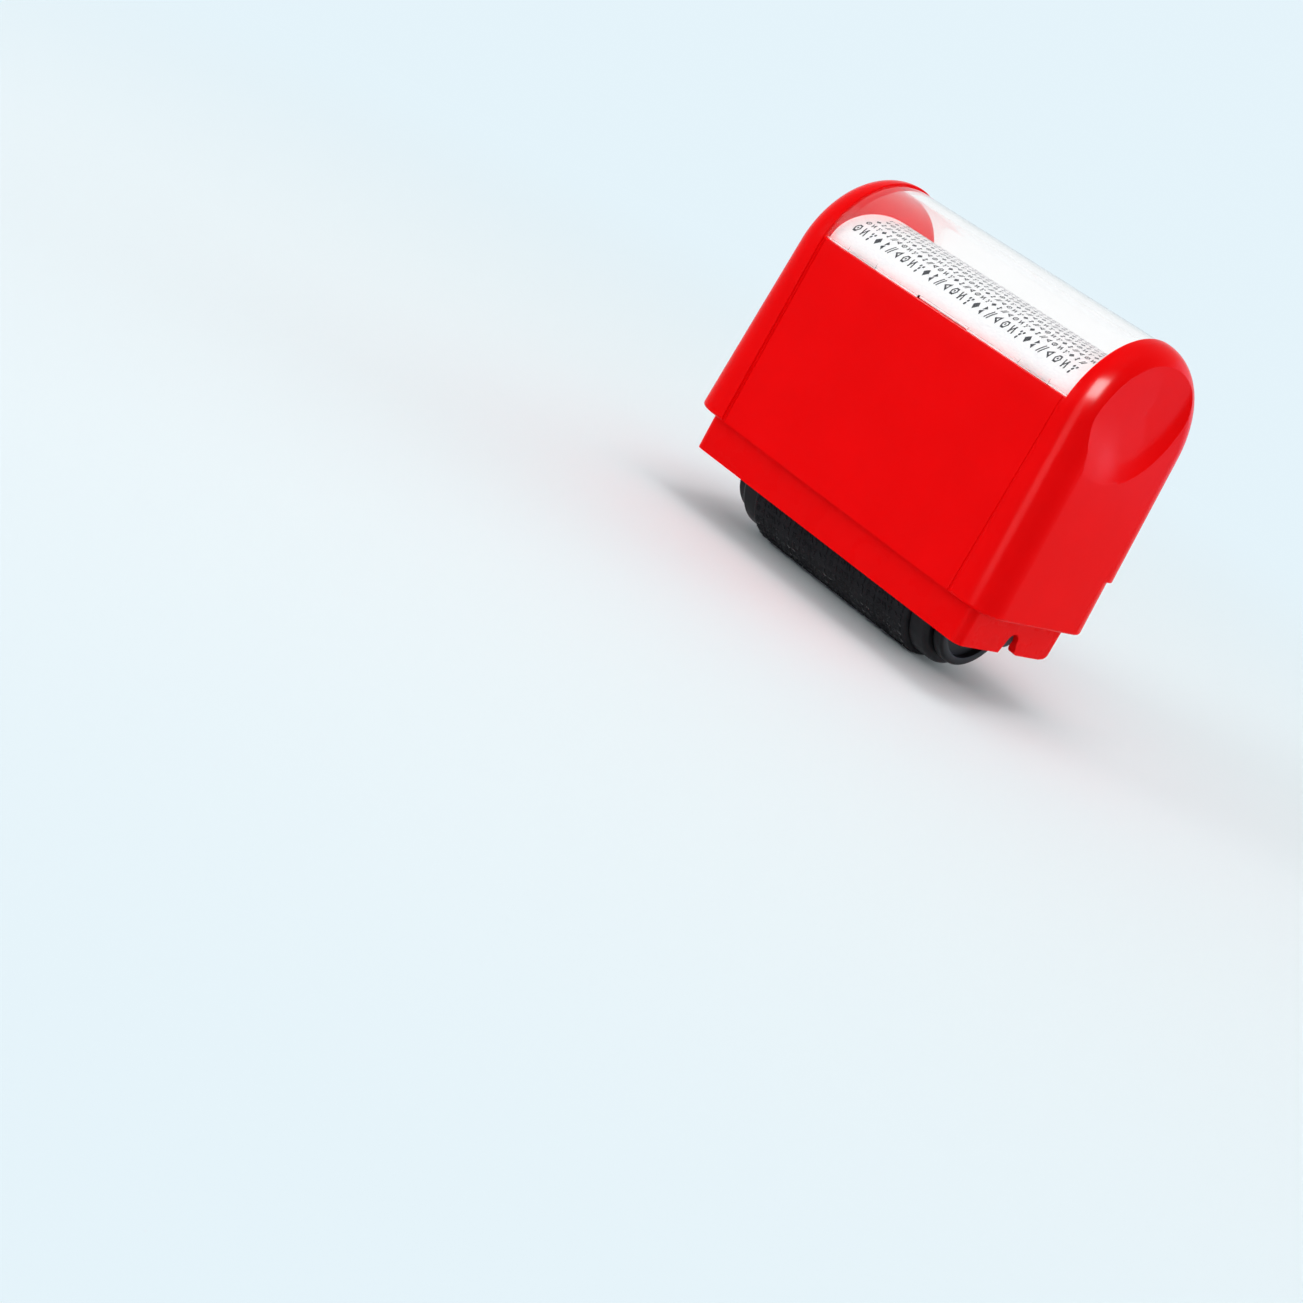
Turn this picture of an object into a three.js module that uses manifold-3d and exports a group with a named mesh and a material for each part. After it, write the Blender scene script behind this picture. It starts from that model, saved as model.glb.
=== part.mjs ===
// Roller stamp with a self-inking roller pair, a slide-in roller frame and a clear window over a paper label.
// Millimetres. X runs along the rollers, -Y is the front, +Z is up.
// The origin lies under the middle of the printing roller, on the paper that the roller touches.
import * as THREE from "three";
import { mergeVertices } from "three/addons/utils/BufferGeometryUtils.js";
import Module from "manifold-3d";

// Housing: one red moulding, measured from its lower edge
const housingLength = 65;
const housingDepth = 30.6;
const housingWall = 1.8;
const domeDraw = 0.6;
const endFillet = 4.9;
const endLeanShare = 0.044;
const backStepRise = 9.1;
const backStepDepth = 1.3;

// Middle panel between the end bands, and the sill on which the window stands
const bandLength = 7.1;
const panelSetback = 0.3;
const sillStep = 2.6;

// Deck under the label: an arch of half an ellipse
const deckEdgeGap = 0.66;
const deckHeadroom = 4.8;
const deckWall = 1.6;
const bandWall = 1.6;

// Thumb ledge in each end face: a floor that curves down towards a round ledge
const thumbEdge = 0.8;
const thumbCentreBack = -5.5;
const thumbCentreUp = 7.4;
const thumbDepth = 2.2;
const thumbTangentShare = 0.45;
const thumbTurn = THREE.MathUtils.degToRad(-49);

// Window and label
const windowWall = 1.3;
const windowClearance = 0.15;
const windowLegWidth = 6;
const windowLegWall = 0.7;
const windowLegDrop = 2.4;
const windowLegSetback = 7.4;
const windowLegInset = 0.25;
const pryNotchLength = 10.4;
const pryNotchHeight = 0.45;
const labelWall = 0.25;
const labelGap = 0.1;
const labelHeadroom = 4.6;

// Guide ribs inside the housing
const ribWidth = 1.2;
const ribClearance = 0.3;
const ribStart = 0.7;
const ribSetback = 11.4;
const endRibSpread = 9.6;
const endRibStep = 3.4;
const stopRibRise = 4;
const stopRibOverlap = 0.8;

// Roller frame, with its skirt below the housing
const frameEndGap = 0.49;
const frameSideGap = 0.55;
const frameWall = 1.3;
const frameCorner = 1.1;
const frameInnerCorner = 0.4;
const endWallStep = 4.2;
const skirtDrop = 6.05;
const skirtStepRise = 0.4;
const skirtBulge = 0.5;
const skirtBulgeDrop = 2.6;
const skirtCorner = 1.6;
const backArchRise = 2.4;
const archMargin = 3;
const archRamp = 3.2;
const rearFootRound = 3;
const bearingWall = 1.5;
const bearingBay = 3.1;
const bearingFootRise = 1.6;

// Latch tongues in the end walls of the frame
const tongueWidth = 6;
const tongueSlit = 0.8;
const tongueRoot = 6;
const nibHeight = 2.4;
const nibReach = 0.3;

// Printing roller
const rollerSideGap = 0.35;
const sleeveWall = 2.1;
const reliefHeight = 0.35;
const reliefRowGap = 0.5;
const reliefSlitWidth = 0.5;
const axleRadius = 1.25;
const axleDrop = 4.2;
const axleInset = 0.6;
const axleChamfer = 0.3;
const notchGrip = 0.15;
const notchMouth = 3.9;
const notchMouthRound = 1;
const turningGap = 0.08;
const seatGap = 0.1;
const hubWall = 1.5;
const capFlangeStep = 0.9;
const capFlangeWall = 3.5;
const capFlangeRound = 0.8;
const capNeckRadius = 3.2;
const capSpigotLength = 5;
const collarStep = 2.1;
const collarStandoff = 0.2;
const collarWidth = 2;
const collarRim = 1.4;
const collarHubShare = 0.5;
const collarWeb = 1;
const collarRound = 0.5;
const runningGap = 0.4;

// Bearing bushes
const bushWall = 1.15;
const bushFlangeRadius = 3.4;
const bushFlangeWall = 0.8;
const bushGap = 0.12;
const bushMouthShare = 0.88;

// Inking roller
const inkStep = 2;
const inkGap = 0.2;
const inkHubRadius = 4.5;
const inkFlangeStep = 1;
const inkTopGap = 0.6;
const inkAxleReach = 0.9;

// Frame cover with its filler slot
const coverWall = 1.4;
const coverInset = 0.2;
const coverCorner = 1;
const coverRimWall = 1;
const coverRimDrop = 1.9;
const fillerLength = 14;
const fillerWidth = 3.6;
const fillerRim = 1;
const fillerRimRise = 1.2;

// Smoothness and pattern counts
const domeSteps = 26;
const filletSteps = 5;
const thumbSteps = 6;
const archSteps = 20;
const roundSteps = 36;
const smallRoundSteps = 20;
const cornerSteps = 4;
const reliefRows = 7;
const reliefSlits = 12;
const facesPerSlit = 3;

// One overrun for every cut that runs past a face, and the distance under which points count as one
const overrun = 6;
const weldDistance = 1e-4;

// The housing sets the depth of the frame, and the frame sets the rollers
const halfLength = housingLength / 2;
const halfFrameDepth = housingDepth / 2 - backStepDepth - housingWall - frameSideGap;
const skirtFront = halfFrameDepth + backStepDepth;
const skirtBack = halfFrameDepth + skirtBulge;
const rollerRadius = halfFrameDepth - frameWall - rollerSideGap;
const inkRadius = rollerRadius - inkStep;
const collarRadius = rollerRadius - collarStep;

// Heights follow from the rollers upwards
const edgeHeight = rollerRadius + axleDrop;
const inkRise = rollerRadius + inkRadius + inkGap - axleDrop;
const frameRise = inkRise + inkRadius + inkTopGap;
const endWallRise = frameRise - endWallStep;
const coverBottom = frameRise + seatGap;
const coverTop = coverBottom + coverWall;
const sillRise = coverTop + fillerRimRise + deckHeadroom + deckWall;
const domeRise = sillRise - sillStep;
const domeRadius = housingDepth / 2 - domeDraw;
const faceLean = Math.PI / 2 - Math.atan2(domeRise, housingDepth / 2)
  - Math.asin(domeRadius / Math.hypot(domeRise, housingDepth / 2));

// Half depth of the panel's outer face at the sill, then the deck between the edges of the window
const sillHalfDepth = Math.sqrt((domeRadius - panelSetback) ** 2 - sillStep ** 2);
const deckHalfDepth = sillHalfDepth - windowWall - deckEdgeGap;
const deckRise = domeRadius - panelSetback - windowWall - labelHeadroom - sillStep;

// Lengths follow from the housing inwards
const halfPanel = halfLength - bandLength;
const halfFrame = halfLength - housingWall - endLeanShare * endWallRise - frameEndGap;
const bearingOuter = halfFrame - frameWall - bearingBay;
const bearingInner = bearingOuter - bearingWall;
const collarOuter = bearingInner - runningGap;
const collarInner = collarOuter - collarWidth;
const flangeEnd = collarInner - collarStandoff;
const flangeStart = flangeEnd - capFlangeWall;
const halfSleeve = flangeStart - seatGap;

// Bores and bushes follow from the axle pin
const bushRadius = axleRadius + turningGap + bushWall;
const boreRadius = axleRadius + seatGap;

const wasm = await Module();
wasm.setup();

// A closed three.js geometry as a solid that can be joined and cut
function solid(geometry) {
  const bare = geometry.clone();
  bare.deleteAttribute("normal");
  bare.deleteAttribute("uv");
  const merged = mergeVertices(bare, weldDistance);
  return new wasm.Manifold(
    new wasm.Mesh({
      numProp: 3,
      vertProperties: new Float32Array(merged.attributes.position.array),
      triVerts: new Uint32Array(merged.index.array),
    }),
  );
}

// A box between two limits on each axis
function block(xLow, xHigh, yLow, yHigh, zLow, zHigh) {
  const box = new THREE.BoxGeometry(xHigh - xLow, yHigh - yLow, zHigh - zLow);
  box.translate((xLow + xHigh) / 2, (yLow + yHigh) / 2, (zLow + zHigh) / 2);
  return solid(box);
}

// An outline of [y, z] points, extruded along X
function alongX(points, xLow, xHigh) {
  const outline = new THREE.Shape(points.map(([y, z]) => new THREE.Vector2(y, z)));
  const body = new THREE.ExtrudeGeometry(outline, { depth: xHigh - xLow, bevelEnabled: false });
  const turn = new THREE.Matrix4().makeBasis(
    new THREE.Vector3(0, 1, 0),
    new THREE.Vector3(0, 0, 1),
    new THREE.Vector3(1, 0, 0),
  );
  body.applyMatrix4(turn);
  body.translate(xLow, 0, 0);
  return solid(body);
}

// An outline of [x, z] points, extruded along Y
function alongY(points, yLow, yHigh) {
  const outline = new THREE.Shape(points.map(([x, z]) => new THREE.Vector2(x, z)));
  const body = new THREE.ExtrudeGeometry(outline, { depth: yHigh - yLow, bevelEnabled: false });
  body.rotateX(Math.PI / 2);
  body.translate(0, yHigh, 0);
  return solid(body);
}

// A rectangle in X and Y with rounded corners, extruded along Z
function roundedBlock(halfX, halfY, corner, zLow, zHigh) {
  const outline = new THREE.Shape();
  outline.moveTo(corner - halfX, -halfY);
  outline.lineTo(halfX - corner, -halfY);
  outline.absarc(halfX - corner, corner - halfY, corner, -Math.PI / 2, 0);
  outline.absarc(halfX - corner, halfY - corner, corner, 0, Math.PI / 2);
  outline.absarc(corner - halfX, halfY - corner, corner, Math.PI / 2, Math.PI);
  outline.absarc(corner - halfX, corner - halfY, corner, Math.PI, Math.PI * 1.5);
  const body = new THREE.ExtrudeGeometry(outline, {
    depth: zHigh - zLow,
    bevelEnabled: false,
    curveSegments: cornerSteps,
  });
  body.translate(0, 0, zLow);
  return solid(body);
}

// A profile of [x, radius] points, turned about the X axis; it closes on itself where it has a bore
function turned(points, steps) {
  const profile = points.map(([x, radius]) => new THREE.Vector2(radius, x));
  if (points[0][1] > 0) profile.push(profile[0].clone());
  const body = new THREE.LatheGeometry(profile, steps);
  body.rotateZ(-Math.PI / 2);
  return solid(body);
}

// A plain cylinder about X
function rod(radius, xLow, xHigh, steps) {
  return turned([[xLow, 0], [xLow, radius], [xHigh, radius], [xHigh, 0]], steps);
}

function joined(...solids) {
  return solids.reduce((all, next) => all.add(next));
}

function cut(body, ...tools) {
  return tools.reduce((rest, tool) => rest.subtract(tool), body);
}

// Mirror image of a solid in X
function mirrored(body) {
  return body.mirror([1, 0, 0]);
}

function bothEnds(half) {
  return half.add(mirrored(half));
}

// Cross-section of the housing at an inward offset: straight leaning faces and a round dome, as [y, z]
function housingOutline(inset) {
  const radius = domeRadius - inset;
  const normalY = -Math.cos(faceLean);
  const normalZ = Math.sin(faceLean);
  const footY = -housingDepth / 2 - normalY * inset - Math.tan(faceLean) * (overrun + normalZ * inset);
  const points = [[footY, -overrun]];
  for (let i = 0; i <= domeSteps; i++) {
    const angle = Math.PI - faceLean - ((Math.PI - 2 * faceLean) * i) / domeSteps;
    points.push([radius * Math.cos(angle), domeRise + radius * Math.sin(angle)]);
  }
  points.push([-footY, -overrun]);
  return points;
}

// Loft along X through cross-sections that draw in over the rounded ends; the end faces lean inwards going up
function housingBody(inset) {
  const round = endFillet - inset;
  const stations = [];
  for (let i = 0; i <= filletSteps; i++) {
    const angle = ((Math.PI / 2) * i) / filletSteps;
    stations.push({ draw: round * (1 - Math.sin(angle)), back: round * (1 - Math.cos(angle)) });
  }
  const rings = [];
  const addRing = (side, { draw, back }) => {
    const reach = halfLength - inset - back;
    rings.push(
      housingOutline(inset + draw).map(([y, z]) => [side * (reach - endLeanShare * z), y, z]),
    );
  };
  stations.forEach((station) => addRing(-1, station));
  stations.reverse().forEach((station) => addRing(1, station));
  const count = rings[0].length;
  const triangles = [];
  for (let r = 0; r + 1 < rings.length; r++) {
    for (let i = 0; i < count; i++) {
      const next = (i + 1) % count;
      const [a, b, c, d] = [rings[r][i], rings[r][next], rings[r + 1][next], rings[r + 1][i]];
      triangles.push(a, d, c, a, c, b);
    }
  }
  const lastRing = rings[rings.length - 1];
  for (let i = 1; i + 1 < count; i++) {
    triangles.push(rings[0][0], rings[0][i], rings[0][i + 1]);
    triangles.push(lastRing[0], lastRing[i + 1], lastRing[i]);
  }
  const geometry = new THREE.BufferGeometry();
  geometry.setAttribute("position", new THREE.Float32BufferAttribute(triangles.flat(), 3));
  return solid(geometry);
}

// Half ellipse above a base line, as [y, z] points from front to back
function arch(halfDepth, rise, base) {
  const points = [];
  for (let i = 0; i <= archSteps; i++) {
    const angle = Math.PI - (Math.PI * i) / archSteps;
    points.push([halfDepth * Math.cos(angle), base + rise * Math.sin(angle)]);
  }
  return points;
}

// Cutter for the thumb ledge in the +X end: a round plug whose floor leaves the end face along a chord and
// curves down towards the lower back
function thumbCutter(grow) {
  const outward = new THREE.Vector3(1, 0, endLeanShare).normalize();
  const downhill = new THREE.Vector3(0, Math.cos(thumbTurn), Math.sin(thumbTurn));
  downhill.addScaledVector(outward, -downhill.dot(outward)).normalize();
  const across = new THREE.Vector3().crossVectors(outward, downhill);
  const thumbRadius = domeRadius - thumbEdge;
  const thumbCentreRise = domeRise + thumbCentreUp;
  const centre = new THREE.Vector3(
    halfLength - endLeanShare * thumbCentreRise,
    thumbCentreBack,
    thumbCentreRise,
  );
  const plug = new THREE.CylinderGeometry(
    thumbRadius + grow, thumbRadius + grow, 2 * (thumbDepth + overrun), roundSteps);
  plug.applyMatrix4(new THREE.Matrix4().makeBasis(downhill, outward, across.clone().negate()));
  plug.translate(centre.x, centre.y, centre.z);
  const tangent = thumbRadius * thumbTangentShare;
  const run = thumbRadius - tangent;
  const floorRadius = (run ** 2 + thumbDepth ** 2) / (2 * thumbDepth);
  const end = Math.asin((run + grow) / (floorRadius - grow)) * (1 + 1 / thumbSteps);
  const profile = new THREE.Shape();
  profile.moveTo(tangent, overrun);
  for (let i = 0; i <= thumbSteps; i++) {
    const angle = (end * i) / thumbSteps;
    profile.lineTo(
      tangent + (floorRadius - grow) * Math.sin(angle),
      (floorRadius - grow) * Math.cos(angle) - floorRadius,
    );
  }
  profile.lineTo(2 * thumbRadius, overrun);
  const width = 2 * (thumbRadius + overrun);
  const floor = new THREE.ExtrudeGeometry(profile, { depth: width, bevelEnabled: false });
  floor.translate(0, 0, -width / 2);
  floor.applyMatrix4(new THREE.Matrix4().makeBasis(downhill, outward, across.clone().negate()));
  floor.translate(centre.x, centre.y, centre.z);
  return solid(plug).intersect(solid(floor));
}

// Legs of the window, or the pockets that they drop into
function windowLegs(clearance) {
  const outerY = sillHalfDepth - windowWall - windowLegInset + windowLegWall;
  const legs = [];
  for (const x of [windowLegSetback - halfPanel, halfPanel - windowLegSetback]) {
    for (const side of [-1, 1]) {
      const faces = [side * (outerY + clearance), side * (outerY - windowLegWall - clearance)];
      legs.push(
        block(
          x - windowLegWidth / 2 - clearance, x + windowLegWidth / 2 + clearance,
          Math.min(...faces), Math.max(...faces),
          sillRise - windowLegDrop - clearance, sillRise + windowWall,
        ),
      );
    }
  }
  return joined(...legs);
}

function outerShell() {
  const everywhere = housingLength + housingDepth;
  const full = housingBody(0);
  const backStep = block(-everywhere, everywhere, 0, everywhere, -2 * overrun, backStepRise)
    .subtract(full.translate([0, -backStepDepth, 0]));
  const belowEdge = block(-everywhere, everywhere, -everywhere, everywhere, -2 * overrun, 0);
  const outer = cut(full, backStep, belowEdge);
  const setback = block(-halfPanel, halfPanel, -everywhere, everywhere, -overrun, everywhere)
    .subtract(alongX(housingOutline(panelSetback), -everywhere, everywhere));

  // Opening over the deck, from one end band to the other
  const opening = alongX(
    [
      [-housingDepth, sillRise],
      ...arch(deckHalfDepth, deckRise, sillRise),
      [housingDepth, sillRise],
      [housingDepth, domeRise + 2 * domeRadius],
      [-housingDepth, domeRise + 2 * domeRadius],
    ],
    -halfPanel, halfPanel,
  );

  // Hollow: full width below the deck, arched under it, and cored into the end bands
  const inner = housingBody(housingWall);
  const innerStepRise = backStepRise + housingWall;
  const deckBase = sillRise - deckWall;
  const low = cut(
    inner.intersect(block(-everywhere, everywhere, -everywhere, everywhere, -overrun, deckBase)),
    block(-everywhere, everywhere, housingDepth / 2 - backStepDepth - housingWall, everywhere,
      -2 * overrun, innerStepRise),
  );
  const underDeck = alongX(
    [[-deckHalfDepth + deckWall, deckBase - overrun], ...arch(deckHalfDepth - deckWall, deckRise, deckBase),
      [deckHalfDepth - deckWall, deckBase - overrun]],
    -halfPanel, halfPanel,
  );
  const bandCore = inner.intersect(
    block(halfPanel + bandWall, everywhere, -everywhere, everywhere, deckBase - overrun, everywhere),
  );
  const hollow = cut(
    joined(low, underDeck, bothEnds(bandCore)),
    bothEnds(thumbCutter(housingWall)),
  );
  return joined(
    cut(outer, setback, opening, hollow, windowLegs(windowClearance), bothEnds(thumbCutter(0))),
    guideRibs(outer),
  );
}

// Ribs that guide the frame, cut to the inside of the housing, with stops above the frame cover
function guideRibs(outer) {
  const ribs = [];
  const guideFace = halfFrameDepth + ribClearance;
  const stopBottom = coverTop + ribClearance;
  const stopFace = halfFrameDepth - stopRibOverlap;
  for (const x of [ribSetback - halfFrame, halfFrame - ribSetback]) {
    for (const side of [-1, 1]) {
      const rib = [
        [side * guideFace, ribStart],
        [side * housingDepth, ribStart],
        [side * housingDepth, stopBottom + stopRibRise],
        [side * guideFace, stopBottom + stopRibRise],
        [side * stopFace, stopBottom + ribWidth],
        [side * stopFace, stopBottom],
        [side * guideFace, stopBottom],
      ];
      ribs.push(alongX(side < 0 ? rib.reverse() : rib, x - ribWidth / 2, x + ribWidth / 2));
    }
  }
  for (const y of [-endRibSpread / 2, endRibSpread / 2]) {
    ribs.push(bothEnds(
      block(halfFrame + ribClearance, halfLength, y - ribWidth / 2, y + ribWidth / 2,
        ribStart, endWallRise - endRibStep),
    ));
  }
  return joined(...ribs).intersect(outer).intersect(housingBody(housingWall / 2));
}

function clearWindow() {
  const lower = sillRise + windowClearance;
  const reach = halfPanel - windowClearance;
  const outside = alongX(housingOutline(panelSetback), -reach, reach);
  const inside = alongX(housingOutline(panelSetback + windowWall), -halfLength, halfLength);
  const above = block(-halfLength, halfLength, -housingDepth, housingDepth, lower, domeRise + 2 * domeRadius);
  const pryNotch = block(
    -pryNotchLength / 2, pryNotchLength / 2, -housingDepth, -sillHalfDepth + windowWall / 2,
    lower - overrun, lower + pryNotchHeight,
  );
  return cut(joined(cut(outside, inside).intersect(above), windowLegs(0)), pryNotch);
}

function printLabel() {
  const under = labelGap;
  const top = labelGap + labelWall;
  const base = sillRise + labelGap;
  const outline = [
    ...arch(deckHalfDepth + top, deckRise + labelWall, base),
    ...arch(deckHalfDepth + under, deckRise, base).reverse(),
  ];
  return alongX(outline.reverse(), -halfPanel + labelGap, halfPanel - labelGap);
}

// Lower edge of the back plate: raised between two feet, with a soft ramp at each end, as [x, z]
function archCutter(rise) {
  const foot = halfFrame - archMargin;
  const level = -skirtDrop + rise;
  const shape = new THREE.Shape();
  shape.moveTo(-foot, -skirtDrop - overrun);
  shape.lineTo(foot, -skirtDrop - overrun);
  shape.lineTo(foot, -skirtDrop);
  shape.bezierCurveTo(foot - archRamp / 2, -skirtDrop, foot - archRamp / 2, level, foot - archRamp, level);
  shape.lineTo(archRamp - foot, level);
  shape.bezierCurveTo(archRamp / 2 - foot, level, archRamp / 2 - foot, -skirtDrop, -foot, -skirtDrop);
  return shape.getPoints(cornerSteps).map((point) => [point.x, point.y]);
}

// Slot for a bush or an axle: a round seat with a straight way out along Z
function seatSlot(radius, mouth, rise, exit, xLow, xHigh) {
  const seat = rod(radius, xLow, xHigh, smallRoundSteps).translate([0, 0, rise]);
  const way = block(xLow, xHigh, -mouth, mouth, Math.min(rise, exit), Math.max(rise, exit));
  return seat.add(way);
}

// A block with rounded corners between the front and the back of the skirt
function skirtBlock(inset, corner, zLow, zHigh) {
  return roundedBlock(halfFrame - inset, (skirtFront + skirtBack) / 2 - inset, corner, zLow, zHigh)
    .translate([0, (skirtBack - skirtFront) / 2, 0]);
}

function rollerFrame() {
  const outside = joined(
    skirtBlock(0, skirtCorner, -skirtDrop, skirtStepRise),
    roundedBlock(halfFrame, halfFrameDepth, frameCorner, -axleDrop, endWallRise),
    block(-bearingOuter, bearingOuter, -halfFrameDepth, halfFrameDepth, -axleDrop, frameRise),
  );
  const inside = joined(
    skirtBlock(frameWall, frameInnerCorner, -skirtDrop - overrun, skirtStepRise - frameWall),
    roundedBlock(
      halfFrame - frameWall, halfFrameDepth - frameWall, frameInnerCorner,
      -skirtDrop - overrun, frameRise + overrun,
    ),
  );
  const bearings = bothEnds(joined(
    block(bearingInner, bearingOuter, -halfFrameDepth + frameWall / 2, halfFrameDepth - frameWall / 2,
      -skirtDrop + bearingFootRise, frameRise),
    block(bearingInner, bearingOuter, -skirtFront + frameWall / 2, 0,
      -skirtDrop + bearingFootRise, skirtStepRise - frameWall / 2),
  ));
  const backArch = alongY(archCutter(backArchRise), halfFrameDepth - frameWall * 2, skirtBack + overrun);

  // The back of the skirt swells below the housing
  const swell = alongX(
    [
      [skirtBack, -skirtBulgeDrop],
      [skirtBack + overrun, -skirtBulgeDrop],
      [skirtBack + overrun, skirtStepRise + seatGap],
      [halfFrameDepth, skirtStepRise + seatGap],
      [halfFrameDepth, 0],
    ],
    -halfLength, halfLength,
  );

  // Round lower corner of the rear feet and of the bearing walls
  const roundCentreY = skirtBack - rearFootRound;
  const roundCentreZ = -skirtDrop + rearFootRound;
  const corner = [[skirtBack + overrun, -skirtDrop - overrun]];
  corner.push([skirtBack + overrun, roundCentreZ]);
  for (let i = 0; i <= cornerSteps; i++) {
    const angle = ((-Math.PI / 2) * i) / cornerSteps;
    corner.push([
      roundCentreY + rearFootRound * Math.cos(angle),
      roundCentreZ + rearFootRound * Math.sin(angle),
    ]);
  }
  corner.push([roundCentreY, -skirtDrop - overrun]);
  const footRound = alongX(corner, -halfLength, halfLength);

  // Axle notches in the end walls: narrow at the axle, wide at the mouth, with a round lip on the rear foot
  const notchRadius = axleRadius + notchGrip;
  const notchWay = [
    [-notchRadius, -axleDrop],
    [-notchMouth / 2, -skirtDrop],
    [-notchMouth / 2, -skirtDrop - overrun],
    [notchMouth / 2 + notchMouthRound, -skirtDrop - overrun],
  ];
  for (let i = 0; i <= cornerSteps; i++) {
    const angle = ((Math.PI / 2) * i) / cornerSteps;
    notchWay.push([
      notchMouth / 2 + notchMouthRound * (1 - Math.sin(angle)),
      -skirtDrop + notchMouthRound * (1 - Math.cos(angle)),
    ]);
  }
  notchWay.push([notchRadius, -axleDrop]);
  const notch = joined(
    rod(notchRadius, bearingOuter, halfFrame + overrun, smallRoundSteps).translate([0, 0, -axleDrop]),
    alongX(notchWay, bearingOuter, halfFrame + overrun),
  );
  const bushSeat = bushRadius + bushGap;
  const bushMouth = bushSeat * bushMouthShare;
  const stampSlot = seatSlot(
    bushSeat, bushMouth, -axleDrop, -skirtDrop - overrun, bearingInner - seatGap, bearingOuter + seatGap);
  const inkSlot = seatSlot(
    bushSeat, bushSeat, inkRise, frameRise + overrun, bearingInner - seatGap, bearingOuter + seatGap);

  // Latch tongues: two slits free each tongue, and a nib stands out near its top
  const slits = [-1, 1].map((side) => {
    const y = side * (tongueWidth / 2 + tongueSlit / 2);
    return block(bearingOuter + frameWall, halfFrame + overrun, y - tongueSlit / 2, y + tongueSlit / 2,
      tongueRoot, endWallRise + overrun);
  });
  const nib = [
    [halfFrame - frameWall / 2, endWallRise],
    [halfFrame - frameWall / 2, endWallRise - nibHeight * 2],
    [halfFrame, endWallRise - nibHeight * 2],
    [halfFrame + nibReach, endWallRise - nibHeight],
    [halfFrame + nibReach, endWallRise - nibHeight / 2],
    [halfFrame, endWallRise],
  ];
  const nibs = alongY(nib, -tongueWidth / 2 + tongueSlit, tongueWidth / 2 - tongueSlit);
  return joined(
    cut(joined(cut(outside, inside), bearings), backArch, swell, footRound,
      bothEnds(joined(notch, stampSlot, inkSlot, ...slits))),
    bothEnds(nibs),
  );
}

function frameCover() {
  const plate = roundedBlock(
    bearingOuter, halfFrameDepth - coverInset, coverCorner, coverBottom, coverTop);
  const rimHalfX = bearingInner - seatGap * 2;
  const rimHalfY = halfFrameDepth - frameWall - seatGap * 2;
  const rim = cut(
    block(-rimHalfX, rimHalfX, -rimHalfY, rimHalfY, coverBottom - coverRimDrop, coverTop - coverWall / 2),
    block(coverRimWall - rimHalfX, rimHalfX - coverRimWall, coverRimWall - rimHalfY, rimHalfY - coverRimWall,
      coverBottom - coverRimDrop - overrun, coverBottom),
  );
  const fingerHalf = bushRadius;
  const fingers = bothEnds(
    block(bearingInner + seatGap, bearingOuter - seatGap, -fingerHalf, fingerHalf,
      inkRise + bushRadius + seatGap, coverTop - coverWall / 2),
  );
  const fillerOutside = roundedBlock(
    fillerLength / 2 + fillerRim, fillerWidth / 2 + fillerRim, fillerWidth / 2, coverBottom, coverTop + fillerRimRise);
  const fillerHole = roundedBlock(
    fillerLength / 2, fillerWidth / 2, fillerWidth / 2 - fillerRim / 2,
    coverBottom - overrun, coverTop + fillerRimRise + overrun);
  return joined(plate, rim, fingers, fillerOutside).subtract(fillerHole);
}

// Rubber sleeve: rows of raised marks, parted by ring grooves and by slanted slits across the rows
function stampSleeve() {
  const base = rollerRadius - reliefHeight;
  const bore = rollerRadius - sleeveWall;
  const pitch = 2 * halfSleeve / reliefRows;
  const points = [[-halfSleeve, bore]];
  for (let row = 0; row < reliefRows; row++) {
    const start = -halfSleeve + row * pitch;
    points.push([start, base], [start + reliefRowGap, base]);
    points.push([start + reliefRowGap, rollerRadius], [start + pitch, rollerRadius]);
  }
  points.push([halfSleeve, base], [halfSleeve, bore]);
  const sleeve = turned(points, reliefSlits * facesPerSlit);
  const slits = [];
  for (let i = 0; i < reliefSlits; i++) {
    const slit = new THREE.BoxGeometry(2 * (halfSleeve - reliefRowGap), reliefSlitWidth, 2 * reliefHeight);
    slit.translate(0, 0, base + reliefHeight);
    slit.rotateX((2 * Math.PI * (i + 1 / 2)) / reliefSlits);
    slits.push(solid(slit));
  }
  return cut(sleeve, ...slits);
}

// Hub of a roller: a plain tube under its sleeve
function rollerCore(seatRadius) {
  const bore = seatRadius - hubWall;
  return turned(
    [[-halfSleeve, bore], [-halfSleeve, seatRadius], [halfSleeve, seatRadius], [halfSleeve, bore]],
    roundSteps,
  );
}

// End cap of a roller: a spigot in the hub, a drum with a round edge beyond the sleeve, and a neck round the axle
function endCap(seatRadius, flangeRadius) {
  const spigotRadius = seatRadius - hubWall - seatGap;
  const profile = [
    [flangeStart - capSpigotLength, boreRadius],
    [flangeStart - capSpigotLength, spigotRadius],
    [flangeStart, spigotRadius],
    [flangeStart, flangeRadius],
  ];
  for (let i = 0; i <= cornerSteps; i++) {
    const angle = ((Math.PI / 2) * i) / cornerSteps;
    profile.push([
      flangeEnd - capFlangeRound * (1 - Math.sin(angle)),
      flangeRadius - capFlangeRound * (1 - Math.cos(angle)),
    ]);
  }
  profile.push([flangeEnd, capNeckRadius], [collarOuter, capNeckRadius], [collarOuter, boreRadius]);
  return turned(profile, roundSteps);
}

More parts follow.
